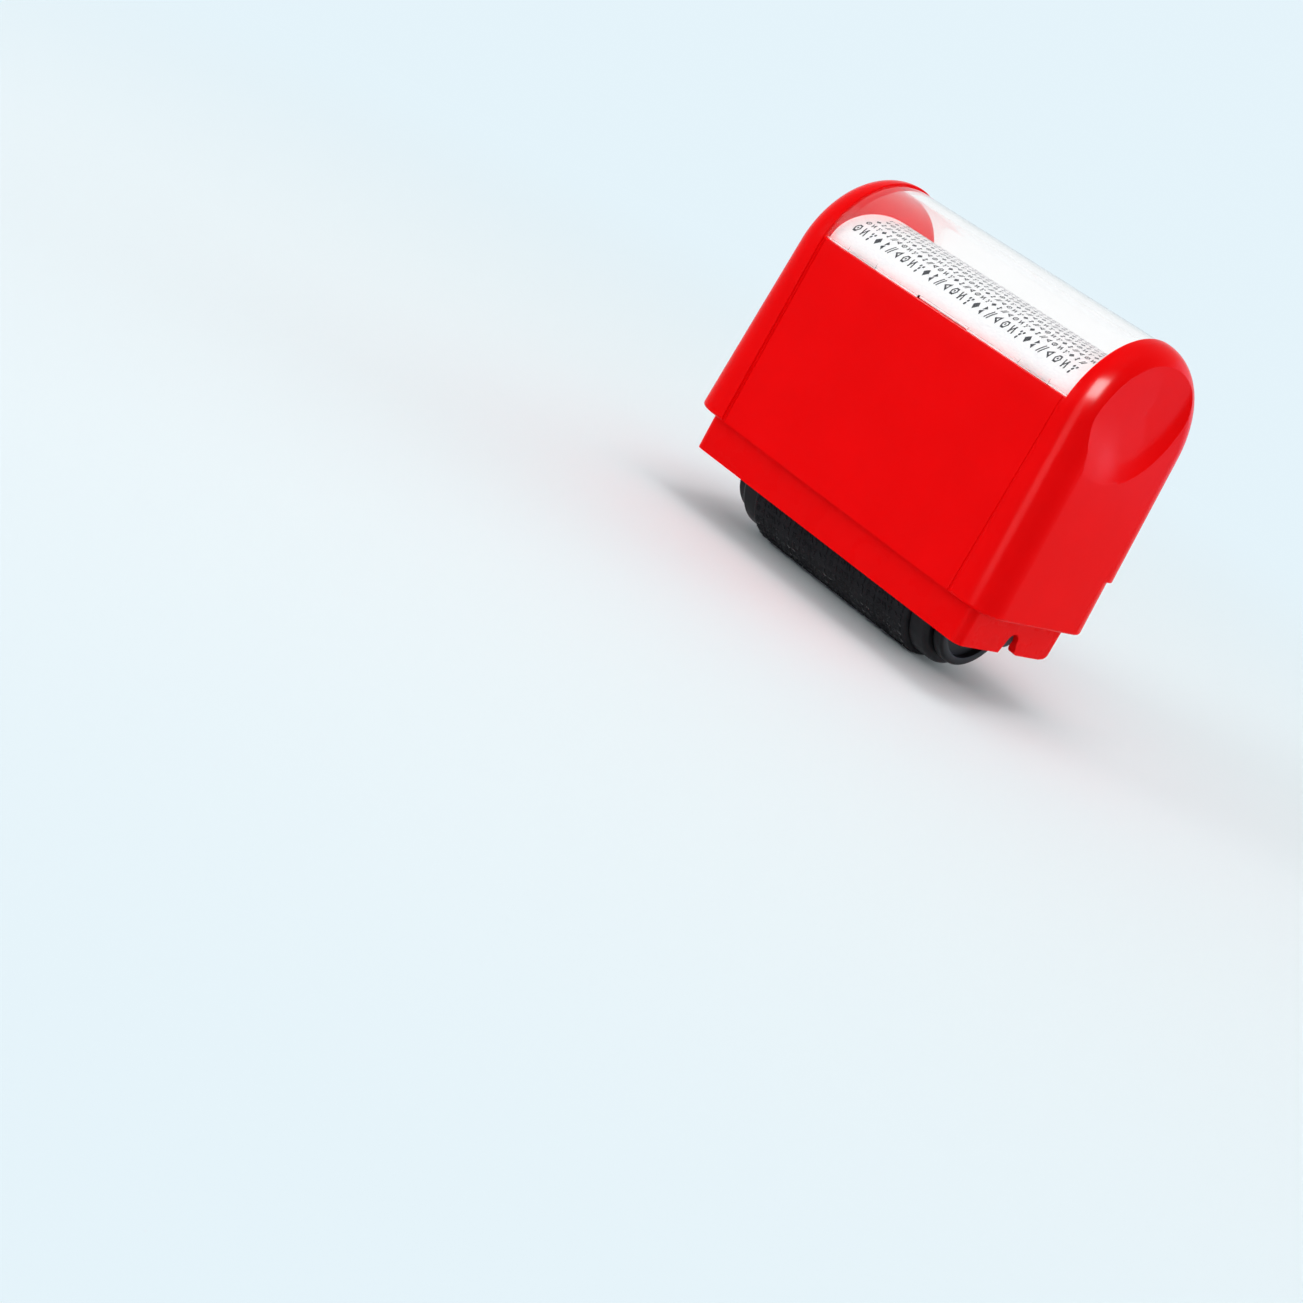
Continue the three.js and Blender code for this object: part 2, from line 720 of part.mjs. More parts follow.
// Collar that keeps the printing roller in the middle between the bearing walls
function endCollar() {
  const bore = capNeckRadius + seatGap;
  const dishRadius = collarRadius - collarRim;
  const hubRadius = bore + (dishRadius - bore) * collarHubShare;
  return turned(
    [
      [collarInner, bore],
      [collarInner, collarRadius - collarRound],
      [collarInner + collarRound, collarRadius],
      [collarOuter - collarRound, collarRadius],
      [collarOuter, collarRadius - collarRound],
      [collarOuter, dishRadius],
      [collarInner + collarWeb, dishRadius],
      [collarInner + collarWeb, hubRadius],
      [collarOuter, hubRadius],
      [collarOuter, bore],
    ],
    roundSteps,
  );
}

// Bush with a flange on the outer side of its bearing wall
function bush() {
  const bore = axleRadius + turningGap;
  const flangeStart = bearingOuter + seatGap * 2;
  return turned(
    [
      [bearingInner, bore],
      [bearingInner, bushRadius],
      [flangeStart, bushRadius],
      [flangeStart, bushFlangeRadius],
      [flangeStart + bushFlangeWall, bushFlangeRadius],
      [flangeStart + bushFlangeWall, bore],
    ],
    smallRoundSteps,
  );
}

function axle(end) {
  return turned(
    [
      [-end, 0],
      [-end, axleRadius - axleChamfer],
      [axleChamfer - end, axleRadius],
      [end - axleChamfer, axleRadius],
      [end, axleRadius - axleChamfer],
      [end, 0],
    ],
    smallRoundSteps,
  );
}

function inkFelt() {
  const bore = inkHubRadius + seatGap;
  return turned(
    [[-halfSleeve, bore], [-halfSleeve, inkRadius], [halfSleeve, inkRadius], [halfSleeve, bore]],
    roundSteps,
  );
}

// Finishes
const finishes = {
  redGloss: { color: 0xe0101a, roughness: 0.22, metalness: 0 },
  redSatin: { color: 0xd40f18, roughness: 0.35, metalness: 0 },
  clear: { color: 0xf4f8fa, roughness: 0.05, metalness: 0, transparent: true, opacity: 0.3 },
  paper: { color: 0xf6f6f4, roughness: 0.8, metalness: 0 },
  blackRubber: { color: 0x1b1b20, roughness: 0.6, metalness: 0 },
  blackPlastic: { color: 0x242428, roughness: 0.4, metalness: 0 },
  inkedFelt: { color: 0x15151c, roughness: 0.95, metalness: 0 },
  whitePlastic: { color: 0xe6e4dd, roughness: 0.4, metalness: 0 },
  steel: { color: 0xb9bcc0, roughness: 0.3, metalness: 1 },
};

function piece(name, body, finish) {
  const { vertProperties, triVerts, numProp } = body.getMesh();
  const geometry = new THREE.BufferGeometry();
  const positions = [];
  for (let i = 0; i < vertProperties.length; i += numProp) {
    positions.push(vertProperties[i], vertProperties[i + 1], vertProperties[i + 2]);
  }
  geometry.setAttribute("position", new THREE.Float32BufferAttribute(positions, 3));
  geometry.setIndex(new THREE.BufferAttribute(new Uint32Array(triVerts), 1));
  geometry.computeVertexNormals();
  const mesh = new THREE.Mesh(geometry, new THREE.MeshStandardMaterial(finishes[finish]));
  mesh.name = name;
  return mesh;
}

// Housing and frame are measured from the lower edge of the housing
const group = new THREE.Group();
const housing = new THREE.Group();
housing.position.z = edgeHeight;
housing.add(
  piece("outer_shell", outerShell(), "redGloss"),
  piece("clear_window", clearWindow(), "clear"),
  piece("print_label", printLabel(), "paper"),
  piece("roller_frame", rollerFrame(), "redSatin"),
  piece("frame_cover", frameCover(), "redSatin"),
);

// Each roller is modelled about its own axis
const stampSeat = rollerRadius - sleeveWall - seatGap;
const stampCap = endCap(stampSeat, rollerRadius - capFlangeStep);
const stampRoller = new THREE.Group();
stampRoller.position.z = edgeHeight - axleDrop;
stampRoller.add(
  piece("stamp_sleeve", stampSleeve(), "blackRubber"),
  piece("stamp_core", rollerCore(stampSeat), "blackPlastic"),
  piece("stamp_end_cap_right", stampCap, "blackPlastic"),
  piece("stamp_end_cap_left", mirrored(stampCap), "blackPlastic"),
  piece("stamp_axle", axle(halfFrame - axleInset), "steel"),
  piece("stamp_collar_right", endCollar(), "blackPlastic"),
  piece("stamp_collar_left", mirrored(endCollar()), "blackPlastic"),
  piece("stamp_bush_right", bush(), "blackPlastic"),
  piece("stamp_bush_left", mirrored(bush()), "blackPlastic"),
);

const inkCap = endCap(inkHubRadius, inkRadius - inkFlangeStep);
const inkRoller = new THREE.Group();
inkRoller.position.z = edgeHeight + inkRise;
inkRoller.add(
  piece("ink_felt", inkFelt(), "inkedFelt"),
  piece("ink_core", rollerCore(inkHubRadius), "whitePlastic"),
  piece("ink_end_cap_right", inkCap, "whitePlastic"),
  piece("ink_end_cap_left", mirrored(inkCap), "whitePlastic"),
  piece("ink_axle", axle(bearingOuter + inkAxleReach), "steel"),
  piece("ink_bush_right", bush(), "whitePlastic"),
  piece("ink_bush_left", mirrored(bush()), "whitePlastic"),
);

group.add(housing, stampRoller, inkRoller);

export default group;
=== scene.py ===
from math import asin, atan2, cos, hypot, pi, radians, sin, tan

import bpy
from mathutils import Euler, Matrix, Vector


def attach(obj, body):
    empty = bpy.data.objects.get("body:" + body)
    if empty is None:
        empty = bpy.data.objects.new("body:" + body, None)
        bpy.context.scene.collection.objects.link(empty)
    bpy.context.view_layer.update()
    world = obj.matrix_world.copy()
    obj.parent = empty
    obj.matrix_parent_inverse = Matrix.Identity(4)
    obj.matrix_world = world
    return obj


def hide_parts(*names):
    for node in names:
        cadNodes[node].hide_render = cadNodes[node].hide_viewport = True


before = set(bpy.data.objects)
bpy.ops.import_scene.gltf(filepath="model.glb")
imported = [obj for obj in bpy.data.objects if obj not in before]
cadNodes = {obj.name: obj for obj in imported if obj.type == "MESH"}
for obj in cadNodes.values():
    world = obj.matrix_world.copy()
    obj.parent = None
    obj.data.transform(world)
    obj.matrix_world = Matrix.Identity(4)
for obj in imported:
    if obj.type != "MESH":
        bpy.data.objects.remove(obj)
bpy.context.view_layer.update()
mm = 0.001
near, loose, wide = 1e-3, 2e-3, 1e-2  # in mm, how close a face or point lies to the place it is picked by
facing = 0.9   # how far a picked face has to look along an axis
weld = 1e-6    # in metres, how close points are merged


def only(obj):  # select one object and make it active
    bpy.ops.object.select_all(action='DESELECT')
    obj.select_set(True)
    bpy.context.view_layer.objects.active = obj


def pick(obj, kind, test):  # select faces, edges or points by place, and stay in edit mode
    only(obj)
    bpy.ops.object.mode_set(mode='EDIT')
    bpy.ops.mesh.select_mode(type=kind)
    bpy.ops.mesh.select_all(action='DESELECT')
    bpy.ops.object.mode_set(mode='OBJECT')
    mesh = obj.data
    if kind == 'FACE':
        for face in mesh.polygons:
            face.select = test(face.center / mm, face.normal)
    elif kind == 'EDGE':
        for edge in mesh.edges:
            a, b = (mesh.vertices[i].co / mm for i in edge.vertices)
            edge.select = test(a, b)
    else:
        for vert in mesh.vertices:
            vert.select = test(vert.co / mm)
    bpy.ops.object.mode_set(mode='EDIT')


def everything(obj):
    pick(obj, 'VERT', lambda p: True)


def done():
    bpy.ops.object.mode_set(mode='OBJECT')


def cutOff(obj, point, normal):  # cut by a plane and close the cut; the normal points to the waste
    everything(obj)
    bpy.ops.mesh.bisect(
        plane_co=Vector(point) * mm, plane_no=Vector(normal).normalized(),
        use_fill=True, clear_outer=True)
    done()


def tidyNormals(obj):
    everything(obj)
    bpy.ops.mesh.remove_doubles(threshold=weld / 10)
    bpy.ops.mesh.normals_make_consistent(inside=False)
    done()


def settle(obj):  # place, turn and size go into the mesh
    only(obj)
    bpy.ops.object.transform_apply(location=True, rotation=True, scale=True)


def carve(obj, tool, how='DIFFERENCE'):
    only(obj)
    mod = obj.modifiers.new('carve', 'BOOLEAN')
    mod.operation = how
    mod.solver = 'EXACT'
    mod.object = tool
    bpy.ops.object.modifier_apply(modifier=mod.name)
    bpy.data.objects.remove(tool)


def copyOf(obj, shift):
    only(obj)
    bpy.ops.object.duplicate()
    twin = bpy.context.object
    twin.location = Vector(shift) * mm
    settle(twin)
    return twin


def mirrorOf(obj):
    only(obj)
    bpy.ops.object.duplicate()
    twin = bpy.context.object
    twin.scale[0] = -1
    settle(twin)
    everything(twin)
    bpy.ops.mesh.normals_make_consistent(inside=False)
    done()
    return twin


def boxAt(corner, opposite):  # a box between two opposite corners
    low = Vector([min(pair) for pair in zip(corner, opposite)]) * mm
    high = Vector([max(pair) for pair in zip(corner, opposite)]) * mm
    bpy.ops.mesh.primitive_cube_add(size=1, location=(low + high) / 2)
    box = bpy.context.object
    box.scale = high - low
    settle(box)
    return box


def slab(xHalf, yLow, yHigh, zLow, zHigh):  # a box that reaches as far to the left as to the right
    return boxAt((-xHalf, yLow, zLow), (xHalf, yHigh, zHigh))


def rodAt(radius, xLow, xHigh, y=0, z=0, sides=64):
    bpy.ops.mesh.primitive_cylinder_add(
        vertices=sides, radius=radius * mm, depth=(xHigh - xLow) * mm,
        location=((xLow + xHigh) / 2 * mm, y * mm, z * mm), rotation=(0, pi / 2, 0))
    rod = bpy.context.object
    settle(rod)
    return rod


def bevelPicked(width, segments):
    bpy.ops.mesh.bevel(offset=width * mm, segments=segments, affect='EDGES', clamp_overlap=False)
    done()


def soften(obj, width, segments=2, angle=40):  # small rounded edges all over
    only(obj)
    mod = obj.modifiers.new('edges', 'BEVEL')
    mod.width = width * mm
    mod.segments = segments
    mod.limit_method = 'ANGLE'
    mod.angle_limit = radians(angle)
    bpy.ops.object.modifier_apply(modifier=mod.name)
    return obj


def rise(obj, z):
    obj.location = (0, 0, z * mm)
    settle(obj)
    return obj


def joinAll(parts):
    bpy.ops.object.select_all(action='DESELECT')
    for part in parts:
        part.select_set(True)
    bpy.context.view_layer.objects.active = parts[0]
    if len(parts) > 1:
        bpy.ops.object.join()
    return bpy.context.object


def smooth(obj, angle=32):
    only(obj)
    bpy.ops.object.shade_smooth_by_angle(angle=radians(angle))
    mod = obj.modifiers.new('evenNormals', 'WEIGHTED_NORMAL')
    mod.keep_sharp = True
    mod.weight = 60
    bpy.ops.object.modifier_apply(modifier=mod.name)


def dress(obj, name, body, slot, material, *replaced):
    obj.name = name
    obj.data.name = name
    obj.data.materials.clear()
    obj.data.materials.append(material)
    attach(obj, body)
    if replaced:
        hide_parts(*replaced)


def newMaterial(name):
    mat = bpy.data.materials.new(name)
    mat.use_nodes = True
    tree = mat.node_tree
    shader = tree.nodes['Principled BSDF']
    coords = tree.nodes.new('ShaderNodeTexCoord')
    return mat, tree, shader, coords.outputs['Object']


def noise(tree, where, scale, detail, stretch=None):
    if stretch:
        turn = tree.nodes.new('ShaderNodeMapping')
        turn.inputs['Scale'].default_value = stretch
        tree.links.new(where, turn.inputs['Vector'])
        where = turn.outputs['Vector']
    node = tree.nodes.new('ShaderNodeTexNoise')
    node.inputs['Scale'].default_value = scale
    node.inputs['Detail'].default_value = detail
    tree.links.new(where, node.inputs['Vector'])
    return node.outputs['Fac']


def spread(tree, source, low, high, start=0.3, end=0.7):  # noise value to a range
    node = tree.nodes.new('ShaderNodeMapRange')
    node.inputs['From Min'].default_value = start
    node.inputs['From Max'].default_value = end
    node.inputs['To Min'].default_value = low
    node.inputs['To Max'].default_value = high
    tree.links.new(source, node.inputs['Value'])
    return node.outputs['Result']


def tint(tree, source, first, second, start=0.3, end=0.7):  # noise value to a colour
    node = tree.nodes.new('ShaderNodeValToRGB')
    node.color_ramp.elements[0].position = start
    node.color_ramp.elements[0].color = (*first, 1)
    node.color_ramp.elements[1].position = end
    node.color_ramp.elements[1].color = (*second, 1)
    tree.links.new(source, node.inputs['Fac'])
    return node.outputs['Color']


def bump(tree, shader, source, strength, height):
    node = tree.nodes.new('ShaderNodeBump')
    node.inputs['Strength'].default_value = strength
    node.inputs['Distance'].default_value = height * mm
    tree.links.new(source, node.inputs['Height'])
    tree.links.new(node.outputs['Normal'], shader.inputs['Normal'])


# noises as (scale, detail, stretch), colours and roughness as (low, high), bump as (strength, mm)
finishes = {
    'shellRed': {
        'cloud': (90, 4), 'colours': ((0.78, 0.0007, 0.0013), (0.82, 0.0008, 0.0016)),
        'patches': (240, 5), 'roughness': (0.16, 0.22),
        'grain': (2600, 2), 'bump': (0.06, 0.02),
        'sockets': {'Specular IOR Level': 0.03},
    },
    'labelPaper': {
        'cloud': (1800, 6, (1, 3, 3)), 'colours': ((0.86, 0.86, 0.87), (0.93, 0.93, 0.93)),
        'patches': (1800, 6, (1, 3, 3)), 'roughness': (0.62, 0.75),
        'grain': (1800, 6, (1, 3, 3)), 'bump': (0.15, 0.02),
        'sockets': {'Specular IOR Level': 0},
    },
    'sleeveRubber': {
        'cloud': (300, 5), 'colours': ((0.006, 0.006, 0.008), (0.011, 0.010, 0.013)),
        'patches': (5200, 3), 'roughness': (0.5, 0.68),
        'grain': (5200, 3), 'bump': (0.2, 0.02),
        'sockets': {'Specular IOR Level': 0.18},
    },
    'blackMoulded': {
        'cloud': (160, 4), 'colours': ((0.007, 0.007, 0.009), (0.012, 0.012, 0.014)),
        'patches': (700, 4), 'roughness': (0.36, 0.48),
        'grain': (2400, 2), 'bump': (0.08, 0.02),
        'sockets': {'Specular IOR Level': 0.2},
    },
    'whiteMoulded': {
        'cloud': (120, 3), 'colours': ((0.74, 0.73, 0.69), (0.80, 0.79, 0.76)),
        'patches': (600, 4), 'roughness': (0.32, 0.45),
        'grain': (2600, 2), 'bump': (0.06, 0.02),
        'sockets': {'Subsurface Weight': 0.08, 'Subsurface Radius': (0.001, 0.001, 0.001)},
    },
    'inkFelt': {
        'cloud': (1500, 7), 'colours': ((0.004, 0.004, 0.007), (0.022, 0.022, 0.032)),
        'patches': (160, 3), 'roughness': (0.55, 0.95),
        'grain': (1500, 7), 'bump': (0.7, 0.12),
        'sockets': {'Sheen Weight': 0.25, 'Sheen Roughness': 0.5},
    },
    'turnedSteel': {
        'cloud': (900, 4, (8, 0.6, 0.6)), 'colours': ((0.50, 0.51, 0.53), (0.62, 0.63, 0.64)),
        'patches': (900, 4, (8, 0.6, 0.6)), 'roughness': (0.22, 0.36),
        'grain': (900, 4, (8, 0.6, 0.6)), 'bump': (0.12, 0.01),
        'sockets': {'Metallic': 1},
    },
}
finishes['frameRed'] = {**finishes['shellRed'], 'roughness': (0.24, 0.32)}
finishes['darkSteel'] = {
    **finishes['turnedSteel'],
    'colours': ((0.035, 0.035, 0.040), (0.06, 0.06, 0.065)), 'roughness': (0.40, 0.52),
}


def mottledFinish(name, look):
    mat, tree, shader, where = newMaterial(name)
    cloud = noise(tree, where, *look['cloud'])
    tree.links.new(tint(tree, cloud, *look['colours']), shader.inputs['Base Color'])
    patches = noise(tree, where, *look['patches'])
    tree.links.new(spread(tree, patches, *look['roughness']), shader.inputs['Roughness'])
    bump(tree, shader, noise(tree, where, *look['grain']), *look['bump'])
    for socket, value in look['sockets'].items():
        shader.inputs[socket].default_value = value
    return mat


windowLook = {
    'index': 1.47,
    'haze': (500, 6, (1, 6, 6)), 'roughness': (0.015, 0.05),
    'ripple': (60, 2), 'bump': (0.02, 0.02),
}


def clearPlastic(name, look):
    mat, tree, shader, where = newMaterial(name)
    shader.inputs['Base Color'].default_value = (1, 1, 1, 1)
    shader.inputs['Transmission Weight'].default_value = 1
    shader.inputs['IOR'].default_value = look['index']
    haze = noise(tree, where, *look['haze'])
    tree.links.new(spread(tree, haze, *look['roughness']), shader.inputs['Roughness'])
    bump(tree, shader, noise(tree, where, *look['ripple']), *look['bump'])
    path = tree.nodes.new('ShaderNodeLightPath')
    straight = tree.nodes.new('ShaderNodeMath')  # the light for the label goes straight through
    straight.operation = 'MAXIMUM'
    tree.links.new(path.outputs['Is Shadow Ray'], straight.inputs[0])
    tree.links.new(path.outputs['Is Diffuse Ray'], straight.inputs[1])
    passing = tree.nodes.new('ShaderNodeBsdfTransparent')
    mix = tree.nodes.new('ShaderNodeMixShader')
    tree.links.new(straight.outputs['Value'], mix.inputs['Fac'])
    tree.links.new(shader.outputs['BSDF'], mix.inputs[1])
    tree.links.new(passing.outputs['BSDF'], mix.inputs[2])
    tree.links.new(mix.outputs['Shader'], tree.nodes['Material Output'].inputs['Surface'])
    return mat


inkLook = {
    # the pale ink colour comes from random wear patches and, towards the back, from painted reflection
    'dark': (0.03, 0.03, 0.036), 'wornAndGlare': (0.36, 0.36, 0.40),
    'glareFrom': -9.8, 'glareTo': 3.0,           # places along Y between which the print pales towards the back, a painted reflection of the window's glare
    'patches': (3500, 3), 'patchiness': 0.35, 'ramp': (0.2, 1),
    'roughness': (0.5, 0.7),
}


def printInk(name, look):
    mat, tree, shader, where = newMaterial(name)
    patches = noise(tree, where, *look['patches'])
    parts = tree.nodes.new('ShaderNodeSeparateXYZ')
    tree.links.new(where, parts.inputs['Vector'])
    # painted reflection: the print pales towards the back as if washed out by the window's white glare
    pale = spread(tree, parts.outputs['Y'], 0, 1, look['glareFrom'] * mm, look['glareTo'] * mm)
    mixed = tree.nodes.new('ShaderNodeMath')
    mixed.operation = 'MULTIPLY_ADD'
    tree.links.new(patches, mixed.inputs[0])
    mixed.inputs[1].default_value = look['patchiness']
    tree.links.new(pale, mixed.inputs[2])
    shade = tint(tree, mixed.outputs['Value'], look['dark'], look['wornAndGlare'], *look['ramp'])
    tree.links.new(shade, shader.inputs['Base Color'])
    tree.links.new(spread(tree, patches, *look['roughness']), shader.inputs['Roughness'])
    shader.inputs['Specular IOR Level'].default_value = 0
    return mat


mats = {name: mottledFinish(name, look) for name, look in finishes.items()}
mats['windowClear'] = clearPlastic('windowClear', windowLook)
mats['labelInk'] = printInk('labelInk', inkLook)
print('materials ready:', len(mats))


shot = {
    'place': (218.138, -322.886, 90.46), 'turn': (71.727, -27.404, 45.891),
    'lens': 72.2215, 'sensor': 36, 'clip': 0.01,
}
lens = bpy.data.cameras.new('photoCamera')
lens.lens, lens.sensor_width, lens.clip_start = shot['lens'], shot['sensor'], shot['clip']
camera = bpy.data.objects.new('photoCamera', lens)
camera.location = Vector(shot['place']) * mm
camera.rotation_euler = Euler([radians(a) for a in shot['turn']])
bpy.context.scene.collection.objects.link(camera)
bpy.context.scene.camera = camera
bpy.context.scene.view_settings.view_transform = 'Standard'

room = {
    'floor': (0.78, 0.86, 0.89), 'floorSize': 12, 'floorRoughness': 0.9,
    'mottle': (3, 2), 'mottleShade': 0.985,
    'sky': (0.78, 0.90, 0.96), 'ambient': 0.68,
    'fade': (0.07, 0.30),       # distances between which the floor runs out into the background
}


def seenDirectly(tree):  # 1 for the camera, for reflections and through the clear window
    path = tree.nodes.new('ShaderNodeLightPath')
    either = path.outputs['Is Camera Ray']
    for kind in ('Is Glossy Ray', 'Is Transmission Ray'):
        node = tree.nodes.new('ShaderNodeMath')
        node.operation = 'MAXIMUM'
        tree.links.new(either, node.inputs[0])
        tree.links.new(path.outputs[kind], node.inputs[1])
        either = node.outputs['Value']
    return either


def backgroundColour(tree, pale):  # the clear window shows plain white behind it
    path = tree.nodes.new('ShaderNodeLightPath')
    mix = tree.nodes.new('ShaderNodeMix')
    mix.data_type = 'RGBA'
    tree.links.new(path.outputs['Is Transmission Ray'], mix.inputs['Factor'])
    mix.inputs['A'].default_value = (*pale, 1)
    mix.inputs['B'].default_value = (1, 1, 1, 1)
    return mix.outputs['Result']


def buildRoom(look):
    bpy.ops.object.select_all(action='DESELECT')
    bpy.ops.mesh.primitive_plane_add(size=look['floorSize'], location=(0, 0, 0))
    floor = bpy.context.object
    floor.name = 'floor'
    mat, tree, shader, where = newMaterial('floorPale')
    mottle = noise(tree, where, *look['mottle'])
    pale = look['floor']
    dull = [c * look['mottleShade'] for c in pale]
    tree.links.new(tint(tree, mottle, dull, pale), shader.inputs['Base Color'])
    shader.inputs['Roughness'].default_value = look['floorRoughness']
    shader.inputs['Specular IOR Level'].default_value = 0
    away = tree.nodes.new('ShaderNodeVectorMath')
    away.operation = 'LENGTH'
    tree.links.new(where, away.inputs[0])
    fade = tree.nodes.new('ShaderNodeMapRange')
    fade.interpolation_type = 'SMOOTHSTEP'
    fade.inputs['From Min'].default_value, fade.inputs['From Max'].default_value = look['fade']
    tree.links.new(away.outputs['Value'], fade.inputs['Value'])
    share = tree.nodes.new('ShaderNodeMath')
    share.operation = 'MULTIPLY'
    tree.links.new(fade.outputs['Result'], share.inputs[0])
    tree.links.new(seenDirectly(tree), share.inputs[1])
    glow = tree.nodes.new('ShaderNodeEmission')
    tree.links.new(backgroundColour(tree, look['sky']), glow.inputs['Color'])
    blend = tree.nodes.new('ShaderNodeMixShader')
    tree.links.new(share.outputs['Value'], blend.inputs['Fac'])
    tree.links.new(shader.outputs['BSDF'], blend.inputs[1])
    tree.links.new(glow.outputs['Emission'], blend.inputs[2])
    tree.links.new(blend.outputs['Shader'], tree.nodes['Material Output'].inputs['Surface'])
    floor.data.materials.append(mat)

    world = bpy.data.worlds.new('softRoom')
    bpy.context.scene.world = world
    world.use_nodes = True
    tree = world.node_tree
    plain = tree.nodes['Background']
    plain.inputs['Color'].default_value = (1, 1, 1, 1)
    plain.inputs['Strength'].default_value = look['ambient']
    seen = tree.nodes.new('ShaderNodeBackground')
    tree.links.new(backgroundColour(tree, look['sky']), seen.inputs['Color'])
    seen.inputs['Strength'].default_value = 1
    mix = tree.nodes.new('ShaderNodeMixShader')
    tree.links.new(seenDirectly(tree), mix.inputs['Fac'])
    tree.links.new(plain.outputs['Background'], mix.inputs[1])
    tree.links.new(seen.outputs['Background'], mix.inputs[2])
    tree.links.new(mix.outputs['Shader'], tree.nodes['World Output'].inputs['Surface'])


# place, aimed at, size, power, 'light' for matt surfaces or 'gloss' for reflections, and a colour if any
lamps = {
    'keyFront': ((0.27, -0.55, 0.54), (0, 0, 0.03), (0.3, 0.3), 0.4, 'light'),
    'fillLeft': ((-0.50, -0.65, 0.30), (0, 0, 0.03), (0.4, 0.3), 2.0, 'light'),
    'sideRight': ((0.50, 0.68, 0.12), (0, 0, 0.03), (0.5, 0.2), 2.4, 'light'),
    'overhead': ((0.02, -0.05, 0.75), (0, 0, 0.03), (0.4, 0.3), 1.3, 'light'),
    'cornerGlint': ((0.27, -0.55, 0.54), (0, 0, 0.03), (0.44, 0.32), 85, 'gloss'),
    'uprightStrip': ((0.05, -0.125, 0.058), (0, 0, 0.058), (0.042, 0.112), 0.15, 'gloss'),
    'blueCard': ((0.16, 0.27, 0.125), (0, 0, 0.125), (0.4, 0.24), 0.26, 'gloss', (0.45, 0.55, 1)),
}


def softBox(name, place, aim, size, power, shows, colour=(1, 1, 1)):
    lamp = bpy.data.lights.new(name, 'AREA')
    lamp.shape = 'RECTANGLE'
    lamp.size, lamp.size_y = size
    lamp.energy = power
    lamp.color = colour
    box = bpy.data.objects.new(name, lamp)
    box.location = place
    box.rotation_euler = (Vector(aim) - Vector(place)).to_track_quat('-Z', 'Y').to_euler()
    box.visible_camera = False
    box.visible_diffuse = shows == 'light'
    box.visible_glossy = shows == 'gloss'
    box.visible_transmission = False
    bpy.context.scene.collection.objects.link(box)


buildRoom(room)
for name, look in lamps.items():
    softBox(name, *look)
print('camera, floor and lamps ready:', len(lamps), 'lamps')


housing = {
    'half': 32.5, 'halfDepth': 15.3, 'wall': 1.8,
    'edge': 14.2,                  # height of the lower edge over the paper
    'dome': 29.1, 'domeRadius': 14.7, 'domeFaces': 144,
    'fillet': 4.9, 'filletSteps': 12, 'lean': 0.044, 'crease': 26,
    'stepRise': 9.1, 'stepDepth': 1.3,
    'stepDrop': 0.003, 'stepWiden': 1.0003,  # these keep faces from sharing one plane where the step is cut
    'halfPanel': 25.4, 'setback': 0.3,
    'sill': 31.7, 'deckHalf': 12.203, 'deckRise': 5.9, 'deckWall': 1.6, 'deckSink': 2,
    'bandWall': 1.6, 'bandRound': 0.14, 'bandSteps': 3, 'bandFrom': 1, 'rimRound': 0.5, 'rimSteps': 4,
    'seamFrom': 24.75, 'seamTo': 25.05, 'seamDeep': 0.12,
    'long': 40, 'overrun': 14,     # how far the forms run on, sideways and down, before they are cut
    'far': 60, 'under': -5, 'over': 90,      # faces of cutting blocks, well outside the stamp
}
housing['faceLean'] = (pi / 2 - atan2(housing['dome'], housing['halfDepth'])
                       - asin(housing['domeRadius'] / hypot(housing['dome'], housing['halfDepth'])))


def housingForm(inset, rounded=True, half=housing['long']):
    # dome over leaning faces, with its ends leaning and rounded, or left square
    h = housing
    radius = h['domeRadius'] - inset
    joint = h['edge'] + h['dome'] + radius * sin(h['faceLean'])
    form = rodAt(radius, -half, half, 0, h['edge'] + h['dome'], h['domeFaces'])
    cutOff(form, (0, 0, joint), (0, 0, -1))
    pick(form, 'FACE', lambda c, n: n.z < -facing or abs(c.z - joint) < near)
    drop = joint - h['edge'] + h['overrun']
    flare = (radius * cos(h['faceLean']) + tan(h['faceLean']) * drop) / (radius * cos(h['faceLean']))
    bpy.ops.mesh.extrude_region_move(TRANSFORM_OT_translate={'value': (0, 0, -drop * mm)})
    bpy.ops.transform.resize(value=(1, flare, 1), center_override=(0, 0, 0))
    done()
    if rounded:
        reach = h['half'] - inset
        for side in (-1, 1):
            cutOff(form, (side * reach, 0, h['edge']), (side, 0, h['lean']))
        tidyNormals(form)
        low = h['edge'] - h['overrun'] + wide

        def onEnd(p):
            return abs(abs(p.x) - (reach - h['lean'] * (p.z - h['edge']))) < loose

        pick(form, 'EDGE', lambda a, b: a.x * b.x > 0 and onEnd(a) and onEnd(b) and max(a.z, b.z) > low)
        bevelPicked(h['fillet'] - inset, h['filletSteps'])
    tidyNormals(form)
    return form


thumb = {
    'edge': 0.8, 'centreBack': -5.5, 'centreUp': 7.4, 'turn': -49, 'sides': 128,
    'depth': 1.1, 'fall': 0.022,             # floor depth at the centre, and how it grows towards the ledge
    'ramp': 3.7,                             # width of the ramp
    'narrow': 0.16, 'shallow': 0.06,         # what width and depth lose per mm towards the back
    'narrowest': 1.8, 'shallowFrom': 2,
    'ease': 4.5, 'level': 0.6,               # how much wider and flatter the ramp runs out at the front
    'frontFrom': 3, 'frontLong': 8, 'lowFrom': -3, 'lowLong': 9,  # the stretch over which it does so
    'rings': 16, 'reach': 9, 'clear': 0.015,
}


def along(value, start, length):  # 0 before a stretch, 1 after it
    return min(max((value - start) / length, 0), 1)


